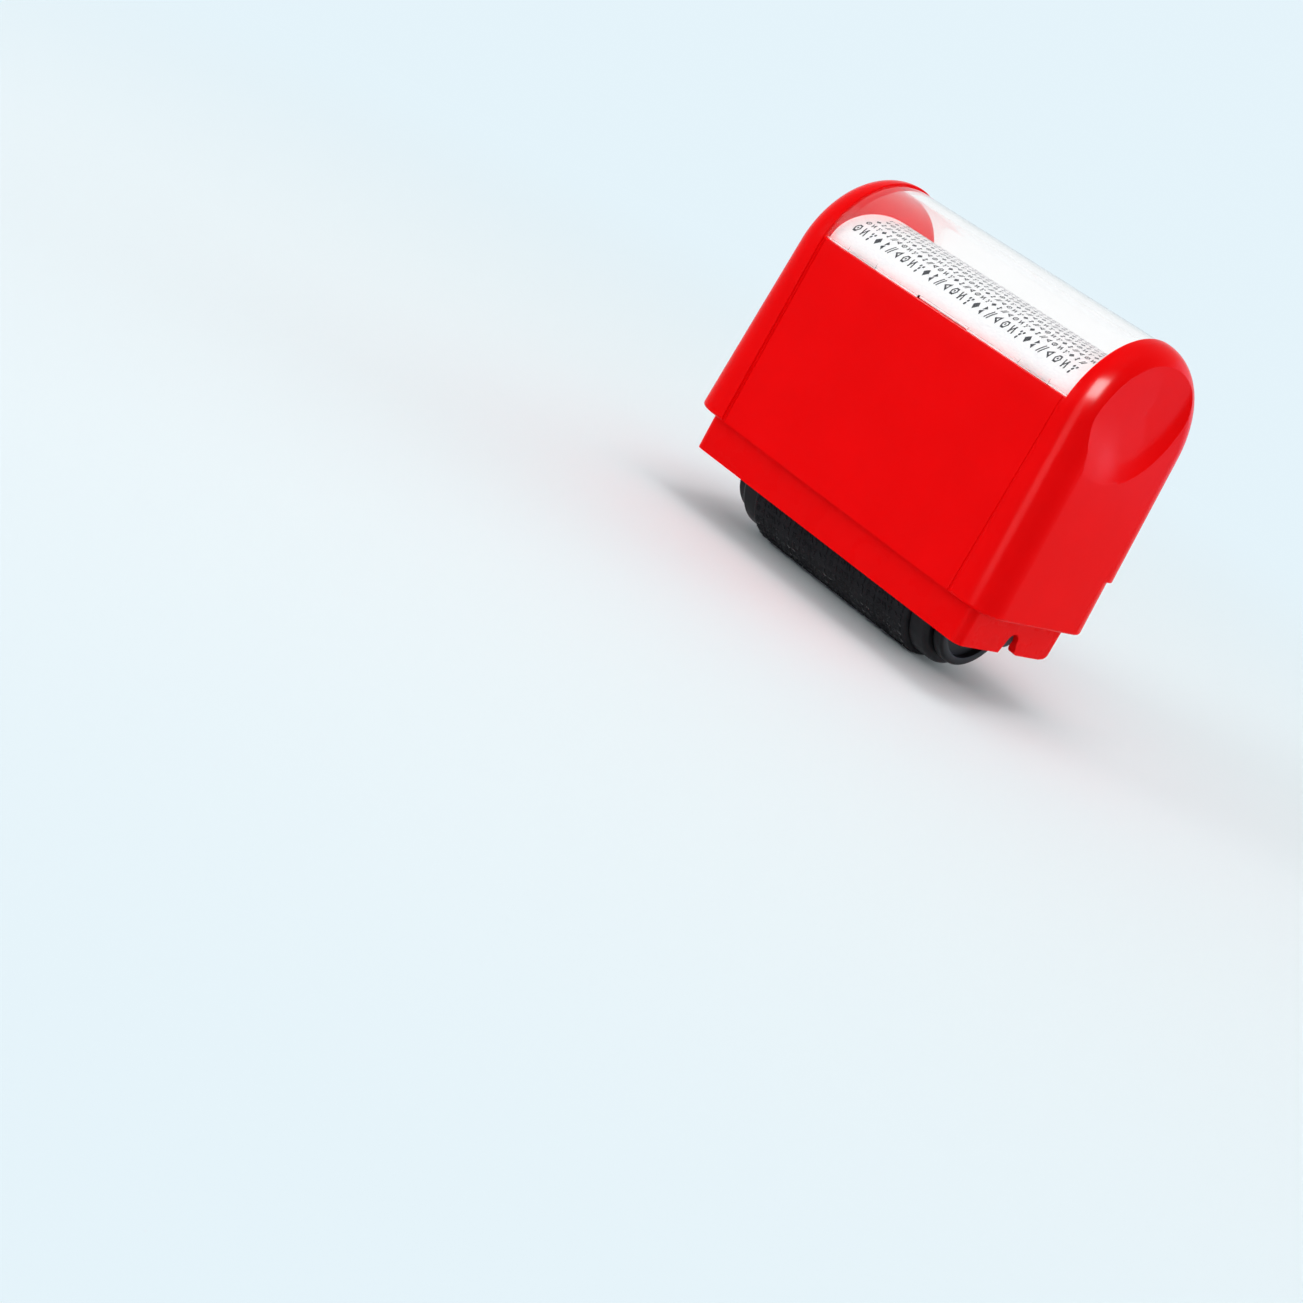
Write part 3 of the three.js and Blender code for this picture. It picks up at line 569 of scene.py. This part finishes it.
def thumbTool(grow=0):  # round plug for the +X end, whose nearly flat floor curves up to its rim
    h, t = housing, thumb
    outward = Vector((1, 0, h['lean'])).normalized()
    downhill = Vector((0, cos(radians(t['turn'])), sin(radians(t['turn']))))
    downhill = (downhill - outward * downhill.dot(outward)).normalized()
    across = outward.cross(downhill)
    radius = h['domeRadius'] - t['edge']
    up = h['dome'] + t['centreUp']
    centre = Vector((h['half'] - h['lean'] * up, t['centreBack'], up + h['edge']))
    bpy.ops.object.select_all(action='DESELECT')
    bpy.ops.mesh.primitive_cylinder_add(
        vertices=t['sides'], radius=(radius + grow) * mm, depth=h['overrun'] * mm,
        location=(0, 0, (h['overrun'] / 2 + t['clear'] - grow) * mm))
    plug = bpy.context.object
    settle(plug)
    if not grow:
        pick(plug, 'FACE', lambda c, n: n.z < -facing)
        for i in range(t['rings']):
            bpy.ops.mesh.inset(thickness=t['reach'] / t['rings'] * mm)
        done()
    for vert in plug.data.vertices:  # the floor goes down, and its outer rings follow as a hollow curve
        if vert.co.z < h['overrun'] / 2 * mm:
            down, back = vert.co.x / mm, vert.co.y / mm
            front = along(-back, t['frontFrom'], t['frontLong']) * along(down, t['lowFrom'], t['lowLong'])
            front = front * front * (3 - 2 * front)
            width = max(t['ramp'] - t['narrow'] * back, t['narrowest']) + t['ease'] * front
            deep = t['depth'] + t['fall'] * down - t['shallow'] * max(back - t['shallowFrom'], 0)
            fromRim = 1 if grow else min((radius - hypot(down, back)) / min(width, t['reach']), 1)
            vert.co.z -= deep * (1 - t['level'] * front) * (1 - (1 - fromRim) ** 2) * mm
    everything(plug)
    bpy.ops.mesh.quads_convert_to_tris()
    done()
    turned = Matrix((downhill, across, outward)).transposed().to_4x4()
    plug.matrix_world = Matrix.Translation(centre * mm) @ turned
    settle(plug)
    tidyNormals(plug)
    return plug


def archTool(half, height, base, xHalf, sink=0):  # half ellipse on a base line, and a block under it if asked
    arch = rodAt(half, -xHalf, xHalf, 0, 0, housing['domeFaces'])
    arch.scale = (1, 1, height / half)
    arch.location = (0, 0, base * mm)
    settle(arch)
    cutOff(arch, (0, 0, base), (0, 0, -1))
    if sink:
        pick(arch, 'FACE', lambda c, n: abs(c.z - base) < near)
        bpy.ops.mesh.extrude_region_move(TRANSFORM_OT_translate={'value': (0, 0, -sink * mm)})
        done()
    tidyNormals(arch)
    return arch


def stepBlock(inset):  # what lies behind the stepped part of the back wall, or so far inside it
    h = housing
    face = h['halfDepth'] - h['stepDepth'] - inset
    return slab(h['far'], face, h['far'], h['under'], h['edge'] + h['stepRise'] + inset)


ribs = {
    'width': 1.2, 'start': 0.7, 'sideX': 18, 'guideFace': 11.95, 'outFace': 16,
    'stop': 24.4, 'stopFace': 10.85, 'stopSink': 0.5, 'rise': 4,
    'endY': 4.8, 'endFace': 29.7, 'endOut': 34, 'endTop': 15,
}


def guideRibs():  # they guide the frame, and those on the long walls have stops above its cover
    h, r = housing, ribs
    half, start, stop = r['width'] / 2, h['edge'] + r['start'], h['edge'] + r['stop']
    made = []
    for x in (-r['sideX'], r['sideX']):
        for side in (-1, 1):
            rib = boxAt((x - half, side * r['guideFace'], start),
                        (x + half, side * r['outFace'], stop + r['rise']))
            hook = boxAt((x - half, side * r['stopFace'], stop),
                         (x + half, side * (r['guideFace'] + r['stopSink']), stop + r['width'] * 2))
            carve(rib, hook, 'UNION')
            carve(rib, housingForm(h['wall'] / 2), 'INTERSECT')
            if side > 0:
                carve(rib, stepBlock(h['wall'] / 2))
            made.append(rib)
    for y in (-r['endY'], r['endY']):
        for side in (-1, 1):
            rib = boxAt((side * r['endFace'], y - half, start),
                        (side * r['endOut'], y + half, h['edge'] + r['endTop']))
            carve(rib, housingForm(h['wall'] / 2), 'INTERSECT')
            made.append(rib)
    return made


window = {
    'wall': 1.3, 'clearance': 0.15, 'edge': 0.06, 'sillHalf': 14.163,
    'endGap': -0.03, 'endOver': 5,
    'notchHalf': 5.2, 'notchRise': 0.45, 'notchFront': -20, 'notchDrop': 4,
    'legWidth': 6, 'legWall': 0.7, 'legDrop': 2.4, 'legX': 18, 'legInset': 0.25,
}


def windowLegs(clearance):
    h, w = housing, window
    outer = w['sillHalf'] - w['wall'] - w['legInset'] + w['legWall']
    sill = h['edge'] + h['sill']
    legs = []
    for x in (-w['legX'], w['legX']):
        for side in (-1, 1):
            faces = side * (outer + clearance), side * (outer - w['legWall'] - clearance)
            legs.append(boxAt(
                (x - w['legWidth'] / 2 - clearance, faces[0], sill - w['legDrop'] - clearance),
                (x + w['legWidth'] / 2 + clearance, faces[1], sill + w['wall'])))
    return legs


def buildWindow():
    h, w = housing, window
    low = h['edge'] + h['sill'] + w['clearance']
    reach = h['halfPanel'] - w['endGap']
    pane = housingForm(h['setback'], False, reach)
    carve(pane, housingForm(h['setback'] + w['wall'], False, reach + w['endOver']))
    cutOff(pane, (0, 0, low), (0, 0, -1))
    for leg in windowLegs(0):
        carve(pane, leg, 'UNION')
    carve(pane, slab(w['notchHalf'], w['notchFront'], -w['sillHalf'] + w['wall'] / 2,
                     low - w['notchDrop'], low + w['notchRise']))
    tidyNormals(pane)
    return soften(pane, w['edge'])


def standsOut(p):  # distance of a point outside the full form
    h = housing
    joint = h['edge'] + h['dome'] + h['domeRadius'] * sin(h['faceLean'])
    if p.z > joint:
        return hypot(p.y, p.z - h['edge'] - h['dome']) - h['domeRadius']
    return abs(p.y) - h['halfDepth'] + tan(h['faceLean']) * (p.z - h['edge'])


def cutPanel(shell):  # middle panel, a little lower than the end bands, with a seam near each band
    h = housing
    skin = slab(h['halfPanel'], -h['far'], h['far'], 0, h['over'])
    carve(skin, housingForm(h['setback'], False))
    carve(shell, skin)
    for side in (-1, 1):
        seam = boxAt((side * h['seamFrom'], -h['far'], 0), (side * h['seamTo'], h['far'], h['over']))
        carve(seam, housingForm(h['setback'] + h['seamDeep'], False))
        carve(shell, seam)
    pick(shell, 'EDGE', lambda a, b: max(a.z, b.z) > h['edge'] + h['bandFrom'] and all(
        abs(abs(p.x) - h['halfPanel']) < near and standsOut(p) > -2 * wide for p in (a, b)))
    bevelPicked(h['bandRound'], h['bandSteps'])


def hollowForm(sill):  # the room under the deck and in the end bands, clear of the thumb ledges
    h = housing
    hollow = housingForm(h['wall'])
    carve(hollow, stepBlock(h['wall']))
    base = sill - h['deckWall']
    deck = slab(h['halfPanel'] + h['bandWall'], -h['far'], h['far'], base, h['over'])
    carve(deck, archTool(h['deckHalf'] - h['deckWall'], h['deckRise'], base, h['halfPanel'], h['deckSink']))
    carve(hollow, deck)
    guard = thumbTool(h['wall'])
    carve(hollow, mirrorOf(guard))
    carve(hollow, guard)
    return hollow


def buildShell():
    h = housing
    sill = h['edge'] + h['sill']
    shell = housingForm(0)
    cutOff(shell, (0, 0, h['edge']), (0, 0, -1))
    pick(shell, 'EDGE', lambda a, b: abs(a.z - h['edge']) < near and abs(b.z - h['edge']) < near)
    bevelPicked(h['rimRound'], h['rimSteps'])

    # step in the lower back: the same form, moved forward
    notch = slab(h['far'], 0, h['far'], h['under'], h['edge'] + h['stepRise'])
    moved = copyOf(shell, (0, -h['stepDepth'], -h['stepDrop']))
    moved.scale = (h['stepWiden'], 1, 1)
    settle(moved)
    carve(notch, moved)
    cutPanel(shell)
    carve(shell, notch)

    # opening over the arched deck
    opening = slab(h['halfPanel'], -h['far'], h['far'], sill, h['over'])
    carve(opening, archTool(h['deckHalf'], h['deckRise'], sill, h['long']))
    carve(shell, opening)
    carve(shell, hollowForm(sill))
    ledge = thumbTool()
    carve(shell, mirrorOf(ledge))
    carve(shell, ledge)
    for pocket in windowLegs(window['clearance']):
        carve(shell, pocket)
    for rib in guideRibs():
        carve(shell, rib, 'UNION')

    everything(shell)
    bpy.ops.mesh.remove_doubles(threshold=2 * weld)
    bpy.ops.mesh.dissolve_degenerate(threshold=weld)
    bpy.ops.mesh.fill_holes(sides=8)
    done()
    return shell


shell = buildShell()
smooth(shell, housing['crease'])
dress(shell, 'shellCasing', 'housing', 'red_shell', mats['shellRed'], 'outer_shell')
print('shell ready:', len(shell.data.polygons), 'faces')

pane = buildWindow()
smooth(pane)
dress(pane, 'windowPane', 'window', 'clear_plastic', mats['windowClear'], 'clear_window')
print('window ready:', len(pane.data.polygons), 'faces')

label = {'wall': 0.25, 'gap': 0.1, 'half': 25.3}


def buildLabel():
    h, w = housing, label
    base = h['edge'] + h['sill'] + w['gap']
    card = archTool(h['deckHalf'] + w['gap'] + w['wall'], h['deckRise'] + w['wall'], base, w['half'])
    pick(card, 'FACE', lambda c, n: abs(n.x) > facing or n.z < -facing)
    bpy.ops.mesh.delete(type='FACE')
    done()
    only(card)
    mod = card.modifiers.new('thickness', 'SOLIDIFY')
    mod.thickness = w['wall'] * mm
    mod.offset = -1
    mod.use_even_offset = True
    bpy.ops.object.modifier_apply(modifier=mod.name)
    return card


def bar(x, y, width, height, turn):
    bpy.ops.mesh.primitive_plane_add(size=mm, location=(x * mm, y * mm, 0), rotation=(0, 0, radians(turn)))
    piece = bpy.context.object
    piece.scale = (width, height, 1)
    settle(piece)
    return piece


def disc(sides, radius, x=0, y=0, turn=0, hollow=0):
    bpy.ops.mesh.primitive_circle_add(
        vertices=sides, radius=radius * mm, fill_type='NGON', location=(x * mm, y * mm, 0),
        rotation=(0, 0, radians(turn)))
    piece = bpy.context.object
    settle(piece)
    if hollow:
        everything(piece)
        bpy.ops.mesh.inset(thickness=hollow * mm)
        bpy.ops.mesh.delete(type='FACE')
        done()
    return piece


stroke = 0.17
marks = {  # flat abstract marks, each about 1 mm high and made of bars or discs
    'hexRing': [(disc, 6, 0.5, 0, 0, 30, stroke), (disc, 6, 0.12)],
    'twoBars': [(bar, x, 0, stroke, 1, -20) for x in (-0.2, 0.2)],
    'diamond': [(disc, 4, 0.46)],
    'zigzag': [(bar, x, 0, stroke, 0.95, turn) for x, turn in ((-0.24, 24), (0.02, -24), (0.28, 24))],
    'triangle': [(disc, 3, 0.56, 0, 0, 90, stroke)],
    'hourglass': [(disc, 3, 0.34, 0, y, turn) for y, turn in ((0.26, -90), (-0.26, 90))],
    'dots': [(disc, 6, 0.16, x, y) for x, y in ((-0.25, 0.28), (0.25, 0.28), (0, -0.05), (0, -0.4))],
}
stride = 3  # a row takes every third kind in turn


def markRow(size, first=0):  # marks along X, from the left: each kind once, and all of that repeated
    kinds = list(marks)
    row = []
    for i in range(len(kinds)):
        shapes = marks[kinds[(i * stride + first) % len(kinds)]]
        piece = joinAll([shape(*sizes) for shape, *sizes in shapes])
        piece.scale = (size['wide'], size['tall'], 1)
        piece.location = (i * size['pitch'] * mm, 0, 0)
        settle(piece)
        row.append(piece)
    row = joinAll(row)
    mod = row.modifiers.new('repeat', 'ARRAY')
    mod.count = size['repeats']
    mod.use_relative_offset = False
    mod.use_constant_offset = True
    mod.constant_offset_displace = Vector((len(kinds) * size['pitch'], 0, 0)) * mm
    bpy.ops.object.modifier_apply(modifier=mod.name)
    return row


labelRows = {
    'start': -22.9, 'endGap': 0.4, 'above': 60, 'cuts': 3, 'thick': 0.04,
    'front': {'y': -10.75, 'tall': 1.55, 'wide': 1.1, 'pitch': 1.5, 'repeats': 5},
    'small': {'y': -8.9, 'tall': 1.0, 'wide': 0.86, 'pitch': 1.12, 'repeats': 6},
    'smallRows': 8, 'smallStep': 1.6,
    'firstBy': 2, 'shift': 0.35, 'shiftEvery': 3,  # so that the small rows don't stand in columns
}


def labelRow(size, first=0, x=0, y=0):  # a row high above the label, cut off at its right-hand end
    r = labelRows
    row = markRow(size, first)
    row.location = ((r['start'] + x) * mm, (size['y'] + y) * mm, r['above'] * mm)
    settle(row)
    pick(row, 'FACE', lambda c, n: c.x > -r['start'] - r['endGap'])
    bpy.ops.mesh.delete(type='FACE')
    done()
    return row


def buildLabelMarks(card):
    r = labelRows
    rows = [labelRow(r['front'])]
    for i in range(r['smallRows']):
        shift = r['shift'] * (i % r['shiftEvery'])
        rows.append(labelRow(r['small'], i * r['firstBy'], shift, i * r['smallStep']))
    allMarks = joinAll(rows)
    everything(allMarks)
    bpy.ops.mesh.subdivide(number_cuts=r['cuts'])
    done()
    only(allMarks)
    wrap = allMarks.modifiers.new('wrap', 'SHRINKWRAP')
    wrap.target = card
    wrap.wrap_method = 'PROJECT'
    wrap.use_project_z = True
    wrap.use_negative_direction = True
    wrap.use_positive_direction = False
    wrap.offset = r['thick'] * mm
    bpy.ops.object.modifier_apply(modifier=wrap.name)
    return allMarks


card = buildLabel()
labelMarks = buildLabelMarks(card)
smooth(card)
dress(card, 'labelCard', 'housing', 'label_paper', mats['labelPaper'], 'print_label')
dress(labelMarks, 'labelMarks', 'housing', 'label_paper', mats['labelInk'])
print('label ready:', len(labelMarks.data.polygons), 'mark faces')


def turnedPiece(radius, xLow, xHigh, lowSteps=(), highSteps=(), bore=0, sides=96):
    # a rod whose end faces go on in steps of (radius, place along X), and are joined by a bore
    rod = rodAt(radius, xLow, xHigh, 0, 0, sides)
    for side, steps, x, r in ((-1, lowSteps, xLow, radius), (1, highSteps, xHigh, radius)):
        for nextRadius, nextX in steps:
            pick(rod, 'FACE', lambda c, n:
                 abs(c.x - x) < loose and side * n.x > facing and hypot(c.y, c.z) < wide)
            bpy.ops.mesh.extrude_region_move(TRANSFORM_OT_translate={'value': ((nextX - x) * mm, 0, 0)})
            grow = nextRadius / r
            bpy.ops.transform.resize(value=(1, grow, grow), center_override=(nextX * mm, 0, 0))
            done()
            x, r = nextX, nextRadius
    if bore:
        pick(rod, 'FACE', lambda c, n: abs(n.x) > facing and hypot(c.y, c.z) < wide)
        bpy.ops.mesh.delete(type='ONLY_FACE')
        done()
        ends = [v.co.x / mm for v in rod.data.vertices if abs(hypot(v.co.y, v.co.z) / mm - bore) < loose]
        lowEnd, highEnd = min(ends), max(ends)

        def onMouth(p):
            return abs(hypot(p.y, p.z) - bore) < loose and min(p.x - lowEnd, highEnd - p.x) < loose

        pick(rod, 'EDGE', lambda a, b: abs(a.x - b.x) < near and onMouth(a) and onMouth(b))
        bpy.ops.mesh.bridge_edge_loops()
        done()
    tidyNormals(rod)
    return rod


def plainTube(size):
    bore, half = size['bore'], size['half']
    tube = turnedPiece(size['radius'], -half, half, [(bore, -half)], [(bore, half)], bore, size['sides'])
    return soften(tube, size['edge'], size['steps'])


def roundRim(part, x, radius, width, steps):  # the outer edge of a turned piece, at one place along X
    pick(part, 'EDGE', lambda a, b: all(
        abs(p.x - x) < near and abs(hypot(p.y, p.z) - radius) < wide for p in (a, b)))
    bevelPicked(width, steps)


def single(part, name, body, slot, material, node):
    smooth(part)
    dress(part, name, body, slot, material, node)


def pair(part, name, body, slot, material, node):  # right-hand piece and its mirror image
    twin = mirrorOf(part)
    single(part, name + 'Right', body, slot, material, node + 'right')
    single(twin, name + 'Left', body, slot, material, node + 'left')


sleeve = {
    'radius': 9.84, 'half': 17.3, 'bore': 7.9, 'sides': 144, 'edge': 0.6, 'steps': 3,
    'top': 9.96, 'sink': 0.15, 'rows': 36,
    'marks': {'tall': 1.25, 'wide': 1.0, 'pitch': 1.2, 'repeats': 4},
}
stampHub = {'radius': 7.8, 'half': 17.3, 'bore': 6.3, 'sides': 96, 'edge': 0.3, 'steps': 2}
inkHub = {'radius': 4.5, 'half': 17.3, 'bore': 3.0, 'sides': 96, 'edge': 0.3, 'steps': 2}
felt = {'radius': 8, 'half': 17.3, 'bore': 4.6, 'sides': 120, 'edge': 0.35, 'steps': 3}
stampZ, inkZ = 10, 28.2  # heights of the two axles over the paper


def buildSleeve():
    s = sleeve
    tube = plainTube(s)
    row = markRow(s['marks'], 1)
    count, pitch = len(marks) * s['marks']['repeats'], s['marks']['pitch']
    row.location = ((-pitch * (count - 1) / 2) * mm, 0, s['top'] * mm)
    settle(row)
    everything(row)
    down = s['top'] - s['radius'] + s['sink']
    bpy.ops.mesh.extrude_region_move(TRANSFORM_OT_translate={'value': (0, 0, -down * mm)})
    done()
    everything(row)
    bpy.ops.mesh.normals_make_consistent(inside=False)
    bpy.ops.mesh.spin(steps=s['rows'], dupli=True, angle=2 * pi, center=(0, 0, 0), axis=(1, 0, 0))
    done()
    return joinAll([tube, row])


roller = rise(buildSleeve(), stampZ)
single(roller, 'printSleeve', 'stamp_roller', 'black_rubber', mats['sleeveRubber'], 'stamp_sleeve')
print('sleeve ready:', len(roller.data.polygons), 'faces')

cap = {
    'start': 17.4, 'end': 20.9, 'plugEnd': 12.4, 'neck': 3.2, 'neckEnd': 23.1, 'bore': 1.35,
    'edge': 0.15, 'round': 0.8, 'roundSteps': 6,
    'stampPlug': 6.2, 'stampRim': 9.1, 'inkPlug': 2.9, 'inkRim': 7,
}


def endCap(plug, rim):
    c = cap
    part = turnedPiece(rim, c['start'], c['end'],
                       [(plug, c['start']), (plug, c['plugEnd']), (c['bore'], c['plugEnd'])],
                       [(c['neck'], c['end']), (c['neck'], c['neckEnd']), (c['bore'], c['neckEnd'])],
                       c['bore'])
    roundRim(part, c['end'], rim, c['round'], c['roundSteps'])
    return soften(part, c['edge'])


ring = {
    'inner': 21.1, 'outer': 23.1, 'radius': 7.9, 'dish': 6.5, 'hub': 4.9, 'bore': 3.3, 'web': 1,
    'round': 0.45, 'roundSteps': 5, 'edge': 0.12,
}


def collar():
    c = ring
    web = c['inner'] + c['web']
    part = turnedPiece(c['radius'], c['inner'], c['outer'], [(c['bore'], c['inner'])],
                       [(c['dish'], c['outer']), (c['dish'], web), (c['hub'], web),
                        (c['hub'], c['outer']), (c['bore'], c['outer'])], c['bore'])
    for x in (c['inner'], c['outer']):
        roundRim(part, x, c['radius'], c['round'], c['roundSteps'])
    return soften(part, c['edge'])


bush = {
    'start': 23.5, 'flange': 25.2, 'end': 26.0, 'radius': 2.48, 'rim': 3.4, 'bore': 1.33,
    'sides': 64, 'edge': 0.12,
}


def bushing():
    b = bush
    part = turnedPiece(b['radius'], b['start'], b['flange'], [(b['bore'], b['start'])],
                       [(b['rim'], b['flange']), (b['rim'], b['end']), (b['bore'], b['end'])],
                       b['bore'], b['sides'])
    return soften(part, b['edge'])


axle = {'radius': 1.25, 'chamfer': 0.3, 'sides': 48, 'stampHalf': 28.8, 'inkHalf': 25.9}


def axlePin(half):
    a = axle
    tip = a['radius'] - a['chamfer']
    return turnedPiece(a['radius'], a['chamfer'] - half, half - a['chamfer'],
                       [(tip, -half)], [(tip, half)], 0, a['sides'])


black, white = mats['blackMoulded'], mats['whiteMoulded']
single(rise(plainTube(stampHub), stampZ), 'stampHub', 'stamp_roller', 'black_plastic', black, 'stamp_core')
pair(rise(endCap(cap['stampPlug'], cap['stampRim']), stampZ),
     'stampCap', 'stamp_roller', 'black_plastic', black, 'stamp_end_cap_')
pair(rise(collar(), stampZ), 'stampCollar', 'stamp_roller', 'black_plastic', black, 'stamp_collar_')
single(rise(axlePin(axle['stampHalf']), stampZ),
       'stampAxle', 'stamp_roller', 'steel', mats['darkSteel'], 'stamp_axle')
pair(rise(bushing(), stampZ), 'stampBush', 'roller_cartridge', 'black_plastic', black, 'stamp_bush_')
single(rise(plainTube(inkHub), inkZ), 'inkHub', 'ink_roller', 'white_plastic', white, 'ink_core')
pair(rise(endCap(cap['inkPlug'], cap['inkRim']), inkZ),
     'inkCap', 'ink_roller', 'white_plastic', white, 'ink_end_cap_')
single(rise(axlePin(axle['inkHalf']), inkZ), 'inkAxle', 'ink_roller', 'steel', mats['turnedSteel'], 'ink_axle')
pair(rise(bushing(), inkZ), 'inkBush', 'roller_cartridge', 'white_plastic', white, 'ink_bush_')
single(rise(plainTube(felt), inkZ), 'inkFelt', 'ink_roller', 'inked_felt', mats['inkFelt'], 'ink_felt')
print('rollers ready')

frameLook = {'flat': 0.5, 'edge': 0.22, 'steps': 3, 'angle': 35}


def nodeCopy(name, flat):  # a CAD piece as one welded mesh, to be finished here
    only(cadNodes[name])
    bpy.ops.object.duplicate()
    twin = bpy.context.object
    twin.parent = None
    for key in list(twin.keys()):
        if key.startswith('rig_'):
            del twin[key]
    everything(twin)
    bpy.ops.mesh.remove_doubles(threshold=weld)
    bpy.ops.mesh.dissolve_limited(angle_limit=radians(flat))
    done()
    return twin


for node, name in (('roller_frame', 'rollerFrame'), ('frame_cover', 'frameCover')):
    part = nodeCopy(node, frameLook['flat'])
    soften(part, frameLook['edge'], frameLook['steps'], frameLook['angle'])
    single(part, name, 'roller_cartridge', 'red_frame', mats['frameRed'], node)
print('frame ready')
